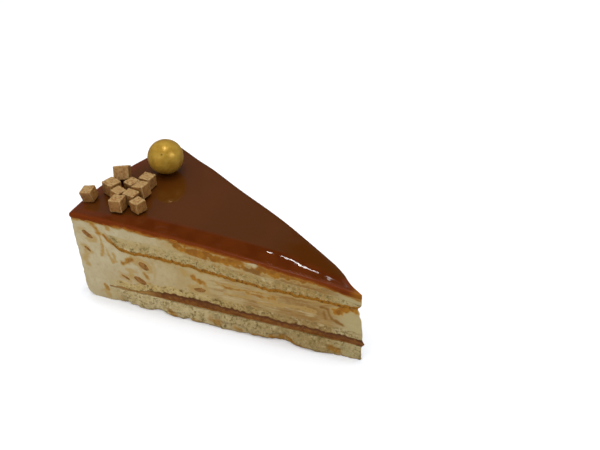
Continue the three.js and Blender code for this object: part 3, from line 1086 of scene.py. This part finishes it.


# %% [markdown]
# Cream is pale, dense and a little moist. It is fresh at the rim and browner towards the
# tip, with streaks where the knife dragged caramel along; the very tip is pale again. Over
# that lie the amber, orange and red of the strokes where caramel ran.

# %% Cream finish
look = Finish("cream", 0.6, Specular_IOR_Level=0.2)
patches = look.mask(look.noise(9, 3), 0.35, 0.65)
along = look.attribute("along")
look.tone = look.blend(patches, (175, 162, 128), (168, 150, 112))
look.paint(look.mask(along, 105, 65), look.blend(patches, (168, 147, 102), (160, 136, 88)))
look.paint(look.mask(along, 62, 22), look.blend(patches, (148, 118, 65), (132, 96, 44)))
look.paint(look.mask(look.noise(1.6, 4, 0.6), 0.45, 0.75), (150, 126, 84), 0.4)
dragged = look.noise(1.5, 5, 0.7, stretch=(0.12, 0.12, 1))
on_drag = look.mask(along, 68, 54)
look.paint(look.times(look.mask(dragged, 0.5, 0.63), on_drag), (134, 92, 38), 0.8)
look.paint(look.times(look.mask(dragged, 0.46, 0.34), on_drag), (178, 158, 114), 0.75)
look.paint(look.mask(along, 14, 6), (166, 152, 108), 0.8)

# %% Caramel on the cream
uneven = look.plus(look.times(look.noise(1.1, 4, 0.6), 0.9), 0.55)
stain = look.times(look.attribute("stain"), uneven)
deep = look.blend(look.mask(look.noise(2.4, 3), 0.4, 0.62), (132, 80, 0), (150, 98, 8))
look.paint(look.mask(stain, 0.05, 0.65), (161, 131, 73))
look.paint(look.mask(stain, 0.5, 1.05), deep)
look.paint(look.times(look.attribute("red"), uneven), (124, 82, 24))
look.paint(look.attribute("pale"), (178, 162, 122))
look.cover([cream], 0.7, 3, 0.12, 0.6)

# %% [markdown]
# Sponge is the same dough in three places. The crumb wall is pale yellow, with paler specks
# painted as highlights on its crumbs, and the pore hollows are painted olive brown as
# shade. The attribute `depth`, the height above the underside, says where caramel crept
# in, and the painted pore shade fades where the dough is dense.


# %% Sponge finishes
def paint_crumb(look, pale, warm, tipwards, hollow, fade):
    """Patches of dough, browner towards the tip, with pale specks painted as highlights on
    the crumbs and painted shade in the pores.
    """
    along = look.attribute("along")
    look.ground(3.5, 3, 0.35, 0.65, pale, warm)
    look.paint(look.mask(along, 85, 15), tipwards)
    look.paint(look.mask(along, 14, 6), (165, 149, 106), 0.8)
    # Pale specks on the crumbs: painted highlights.
    look.paint(look.mask(look.noise(1.1, 4, 0.7), 0.52, 0.64), (184, 166, 120), 0.45)
    look.paint(look.mask(look.noise(4.5, 4, 0.65), 0.54, 0.68), hollow, 0.4)
    look.paint(look.mask(look.noise(3.8, 4, 0.65), 0.55, 0.68), (190, 173, 132), 0.5)
    # Painted shade in the pores: torn hollows from noise and the pressed-in pores take the hollow colour.
    torn = look.mask(look.noise(1.25, 5, 0.75), 0.49, 0.58)
    torn = look.times(look.times(torn, look.mask(look.noise(3.2, 2), 0.3, 0.6)), 0.85)
    pores = look.plus(torn, look.times(look.attribute("dark"), 0.4))
    look.paint(look.times(pores, look.mask(look.attribute("depth"), *fade)), hollow)


def paint_caramel(look, soaked, soak_depth, ragged):
    """Stains where the mesh says so, and a soaked underside with a ragged limit."""
    stain = look.times(look.attribute("stain"), look.mask(look.noise(1.1, 4), 0.2, 0.45))
    look.paint(stain, (140, 92, 14), 0.95)
    limit = look.plus(look.attribute("depth"), look.times(look.noise(1.2, 4, 0.6), ragged))
    middle = soak_depth + ragged * 0.5
    speckled = look.mask(look.noise(0.8, 3, 0.6), 0.5, 0.66)
    look.paint(look.mask(limit, middle + 0.35, middle - 0.35), look.blend(speckled, soaked, (92, 56, 16)))
    look.paint(look.mask(look.attribute("along"), 102, 107.5), (168, 152, 112))


# %% Three sponges
# The piece; pale, warm and tipward dough and the olive brown of the painted pore shade;
# where the pore shade fades; the soaked tone, how deep it goes and how ragged its limit is.
SPONGES = [
    (upper_sponge, ((168, 148, 102), (159, 137, 88), (152, 124, 72), (98, 83, 44)), (7.0, 3.0),
     ((140, 92, 22), 1.5, 2.6)),
    (thin_sponge, ((179, 156, 103), (169, 144, 89), (142, 114, 67), (98, 78, 38)), (4.2, 2.5),
     ((104, 64, 22), 0.3, 1.4)),
    (base_sponge, ((181, 163, 122), (170, 151, 107), (143, 121, 78), (106, 90, 48)), (9.0, 8.0),
     ((132, 102, 52), 0.3, 1.6)),
]
for piece, dough, fade, caramel_in in SPONGES:
    look = Finish(piece.name, 0.9, Specular_IOR_Level=0.15)
    paint_crumb(look, *dough, fade)
    paint_caramel(look, *caramel_in)
    if piece is upper_sponge:
        look.paint(look.mask(look.attribute("depth"), 4.5, 7.5), (170, 150, 106))
    look.cover([piece], 0.45, 3, 0.25, 0.8, roughness=0.7)

# %% [markdown]
# The filling is dark and moist: it reflects a little, and is lighter where it is thin,
# along its foot and at its end near the rim.

# %% Caramel finish
look = Finish("caramel", 0.45, Specular_IOR_Level=0.2)
share = look.attribute("depth")
look.ground(2.2, 4, 0.35, 0.65, (99, 53, 11), (121, 73, 20))
look.paint(look.mask(share, 0.55, 0.95), (82, 44, 14))
look.paint(look.mask(share, 0.22, 0.02), (150, 98, 38), 0.8)
look.paint(look.mask(look.noise(1.0, 4, 0.6), 0.6, 0.7), (148, 104, 44), 0.6)
look.paint(look.mask(look.attribute("along"), 83, 93), (148, 108, 50))
look.cover([caramel], 0.9, 3, 0.25, 0.7)

# %% [markdown]
# The glaze is a clear brown jelly. Deep down it is nearly black-brown; where it slopes
# and thins, at its lower edge and at the tip, light comes through and turns it amber.
# The flat mirrors the ball softly, the slope is glassy, and the rolled edge is dull.

# %% Glaze finish
look = Finish("glaze", 0.05, Specular_IOR_Level=0.5)
above, edge, along = (look.attribute(name) for name in ("above", "edge", "along"))
uneven = look.times(look.noise(2.0, 3), 1.2)
look.ground(25, 2, 0.4, 0.6, (73, 36, 6), (77, 38, 8))
redder = look.blend(look.mask(look.noise(7, 3), 0.35, 0.65), (76, 31, 5), (84, 36, 8))
sloping = look.attribute("sloping")
look.paint(sloping, redder)
look.paint(look.times(sloping, look.mask(edge, 2.2, 0.6)), (96, 40, 7))
wall = look.mask(edge, 0.9, 0.1)
height = look.plus(above, uneven)
# Lighter, redder bands low on the wall: light coming through the thin glaze, and a painted reflection of the
# white floor.
look.paint(look.times(wall, look.mask(height, 1.2, 0.4)), (110, 55, 13))
look.paint(look.times(wall, look.mask(height, 0.7, 0.0)), (134, 84, 28))
look.paint(look.mask(look.plus(along, look.times(uneven, 2.0)), 7.0, 3.0), (126, 76, 18))
look.link(look.slide(edge, 0.6, 2.0, 0.04, 0.5), "Specular IOR Level")
look.link(look.plus(look.slide(edge, 0.8, 2.0, 0.3, 0.02), look.slide(edge, 7, 10, 0, 0.03)), "Roughness")
look.cover([glaze], 3.0, 2, 0.02, 0.3)

# %% [markdown]
# The ball wears a pearly gold coat: half metal, half lacquer, brushed on unevenly.

# %% Gold finish
shine = {"Metallic": 0.5, "Specular_IOR_Level": 0.3, "Coat_Weight": 0.3, "Coat_Roughness": 0.28}
look = Finish("gold", 0.4, **shine)
pearly = look.mask(look.noise(2.6, 4, 0.6), 0.3, 0.7)
look.tone = look.blend(pearly, (204, 164, 64), (182, 138, 42))
look.paint(look.attribute("pit"), (70, 44, 16))
look.cover([ball], 0.5, 4, 0.05, 0.6)

# %% [markdown]
# Fudge is dry caramel: tan, with tiny crystals, and paler on its upward faces, which is
# partly sugar bloom and partly painted light from above, and along its edges where sugar
# has bloomed. Toffee is darker and has no bloom.

# %% Fudge and toffee finishes
look = Finish("fudge", 0.62, Specular_IOR_Level=0.3)
look.tone = look.blend(look.mask(look.noise(1.5, 4, 0.6), 0.35, 0.65), (143, 99, 47), (123, 80, 34))
# Paler on upward faces, partly painted light from above, and along the edges, where sugar bloomed.
look.paint(look.times(look.attribute("frost"), look.mask(look.noise(1.1, 4, 0.6), 0.3, 0.6)), (168, 141, 94))
look.paint(look.mask(look.noise(0.6, 3), 0.54, 0.72), (166, 128, 76), 0.6)
look.paint(look.attribute("worn"), (98, 62, 28))
look.cover(cubes, 0.35, 3, 0.12, 0.7)

look = Finish("toffee", 0.55, Specular_IOR_Level=0.12)
look.ground(1.2, 3, 0.35, 0.65, (140, 97, 46), (117, 76, 32))
look.cover([bits], 0.5, 3, 0.1, 0.6)

# %% [markdown]
# ## The studio
#
# The slice stands on a plain white floor, which only shows its contact shadow. The floor
# glows more with distance from the slice, so that it meets the white background without
# a line, and it stays out of reflections.

# %% Floor
FLOOR_REACH = 3.0
FLOOR_DROP = 0.0001
# From this distance to that one the floor glows from this strength to that one.
GLOW = (0.4, 1.2, 0.13, 1.0)
square = [(-1, -1), (1, -1), (1, 1), (-1, 1)]
corners = [(FLOOR_REACH * x, FLOOR_REACH * y, -FLOOR_DROP) for x, y in square]
floor_mesh = bpy.data.meshes.new("floor")
floor_mesh.from_pydata(corners, [], [(0, 1, 2, 3)])
floor = bpy.data.objects.new("floor", floor_mesh)
bpy.context.scene.collection.objects.link(floor)
white = (1, 1, 1, 1)
colours = {"Base_Color": (0.83, 0.85, 0.89, 1), "Emission_Color": white}
look = Finish("white_floor", 0.9, Specular_IOR_Level=0.1, **colours)
away = add_node(look.tree, "ShaderNodeVectorMath", {0: look.place()}, operation="LENGTH").outputs["Value"]
look.link(look.slide(away, *GLOW), "Emission Strength")
floor_mesh.materials.append(look.material)
floor.visible_glossy = False
print(f"floor: {2 * FLOOR_REACH:.0f} m wide")

# %% [markdown]
# Two broad boxes give even light, and they stay out of reflections too. Small lamps give
# the soft lights on the ball and the sparkles on the glaze, and three thin strips in one
# line give the broken gleam along its edge.


# %% Lights
def soft_box(name, place_mm, size_mm, watts, across_mm=None):
    """An area light at a place, aimed at the slice: a square, or a strip along X."""
    data = bpy.data.lights.new(name, "AREA")
    data.shape = "RECTANGLE"
    data.size = size_mm * MM
    data.size_y = (across_mm or size_mm) * MM
    data.energy = watts
    lamp = bpy.data.objects.new(name, data)
    place = Vector(place_mm) * MM
    back = (place - Vector((0, 0, 20)) * MM).normalized()
    sideways = (Vector((1, 0, 0)) - back * back.x).normalized()
    turned = Matrix((sideways, back.cross(sideways), back)).transposed().to_4x4()
    lamp.matrix_world = Matrix.Translation(place) @ turned
    bpy.context.scene.collection.objects.link(lamp)
    return lamp


soft_box("ceiling", (-100, 0, 1200), 1500, 11.0).visible_glossy = False
soft_box("fill", (-350, -800, 350), 500, 1.4).visible_glossy = False
soft_box("lamp_above", (-30, 12, 531), 45, 0.4)
soft_box("lamp_right", (485, 65, 330), 70, 0.4)
soft_box("lamp_front", (10, -540, 275), 160, 0.22)
for x, length, watts in ((-136, 8, 0.0011), (-98, 44, 0.006), (-50, 34, 0.0018)):
    soft_box("strip", (x, 241, 450), length, watts, across_mm=2)
print(len(bpy.data.lights), "lamps")

# %% [markdown]
# The camera sees a white world. Surfaces are lit by half of that, and mirror a dim grey
# wall that ends at a set height: the flat of the glaze faces the dark above it.

# %% World
LIT, MIRRORED_WALL, MIRRORED_DARK = 0.5, 0.135, 0.015
WALL_FADES = (0.705, 0.725)
world = bpy.data.worlds.new("studio")
bpy.context.scene.world = world
world.use_nodes = True
sky = world.node_tree
path = add_node(sky, "ShaderNodeLightPath")
direction = add_node(sky, "ShaderNodeTexCoord").outputs["Generated"]
height = add_node(sky, "ShaderNodeSeparateXYZ", {0: direction}).outputs["Z"]
ends = {"Value": height, 1: WALL_FADES[0], 2: WALL_FADES[1], 3: MIRRORED_WALL, 4: MIRRORED_DARK}
wall = add_node(sky, "ShaderNodeMapRange", ends).outputs[0]
mirrored = add_node(sky, "ShaderNodeMix", {0: path.outputs["Is Glossy Ray"], 2: LIT, 3: wall})
seen = add_node(sky, "ShaderNodeMix", {0: path.outputs["Is Camera Ray"], 2: mirrored.outputs[0], 3: 1.0})
sky.links.new(seen.outputs[0], sky.nodes["Background"].inputs["Strength"])
sky.nodes["Background"].inputs["Color"].default_value = white
bpy.context.scene.view_settings.view_transform = "Standard"
print("world:", len(sky.nodes), "nodes")

# %% [markdown]
# ## The camera
#
# The photograph looks at the cut side from above: the camera stands to the tip's side of
# the slice, 36 degrees up, and is turned slightly about its own axis. Its focal length
# and distance were fitted to the wedge's corners and edges.

# %% Camera
AIM = np.array([6.26, 36.09, 20.0])
HEADING = math.radians(-36.992)
PITCH = math.radians(36.19)
ROLL = math.radians(-2.158)
DISTANCE = 367.42
FOCAL_PIXELS = 865.38
FRAME_PIXELS = 600

ahead = np.array([math.sin(HEADING) * math.cos(PITCH), math.cos(HEADING) * math.cos(PITCH), -math.sin(PITCH)])
level = np.array([math.cos(HEADING), -math.sin(HEADING), 0.0])
above = np.cross(level, ahead)
right = math.cos(ROLL) * level + math.sin(ROLL) * above
up = math.cos(ROLL) * above - math.sin(ROLL) * level
camera_data = bpy.data.cameras.new("camera")
camera_data.sensor_width = 36.0
camera_data.lens = FOCAL_PIXELS / FRAME_PIXELS * camera_data.sensor_width
camera_data.clip_start = 0.01
camera = bpy.data.objects.new("camera", camera_data)
place = (AIM - ahead * DISTANCE) * MM
turned = Matrix((right, up, -ahead)).transposed().to_4x4()
camera.matrix_world = Matrix.Translation(place) @ turned
bpy.context.scene.collection.objects.link(camera)
bpy.context.scene.camera = camera
print("camera at", np.round(place / MM, 1))
